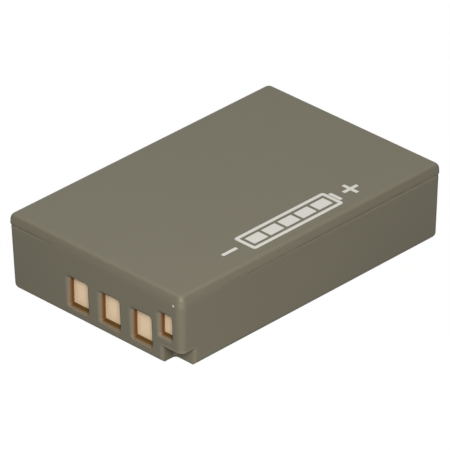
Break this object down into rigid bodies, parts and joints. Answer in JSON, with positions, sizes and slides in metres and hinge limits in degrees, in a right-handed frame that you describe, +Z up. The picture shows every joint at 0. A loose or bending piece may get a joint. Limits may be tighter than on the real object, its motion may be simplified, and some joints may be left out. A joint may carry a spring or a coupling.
{
  "type": "camera battery",
  "caption": "Slim rectangular rechargeable camera battery with recessed gold contacts at one end, a keying notch in the lower corner and a welded lid.",
  "frame": {"origin": "centre of the base, on the surface that the battery lies on", "axes": "+X across the width towards the side with the keying notch, +Y along the length away from the contact end, +Z up through the thickness to the lid face"},
  "size_m": [0.036, 0.055, 0.0127],
  "materials": {
    "case": "fine-textured warm grey moulded plastic",
    "contact_gold": "satin gold plating",
    "board": "solder-masked laminate",
    "chip": "moulded epoxy",
    "ceramic": "fired ceramic",
    "fuse": "tinned brass faces",
    "can": "drawn, satin",
    "nickel": "rolled nickel",
    "gasket": "moulded seal",
    "film": "thin polyester film",
    "tape": "double-sided tissue tape",
    "foam": "closed-cell foam",
    "card": "insulating card"
  },
  "bodies": {
    "root": {"case_tray": "case", "case_lid": "case", "contact_negative": "contact_gold", "contact_sense": "contact_gold", "contact_positive": "contact_gold", "contact_identity": "contact_gold", "protection_board": "board", "protection_ic": "chip", "fet_pair": "chip", "thermistor": "ceramic", "chip_resistors": "chip", "chip_capacitors": "ceramic", "thermal_fuse": "fuse", "lower_cell": "can", "lower_cell_gasket": "gasket", "lower_cell_terminal": "nickel", "lower_cell_sleeve": "film", "upper_cell": "can", "upper_cell_gasket": "gasket", "upper_cell_terminal": "nickel", "upper_cell_sleeve": "film", "cell_divider": "tape", "tray_pad": "foam", "lid_pad": "foam", "end_foam": "foam", "cap_insulator": "card", "strip_negative": "nickel", "strip_series": "nickel", "strip_midpoint": "nickel", "strip_positive": "nickel"}
  },
  "joints": []
}
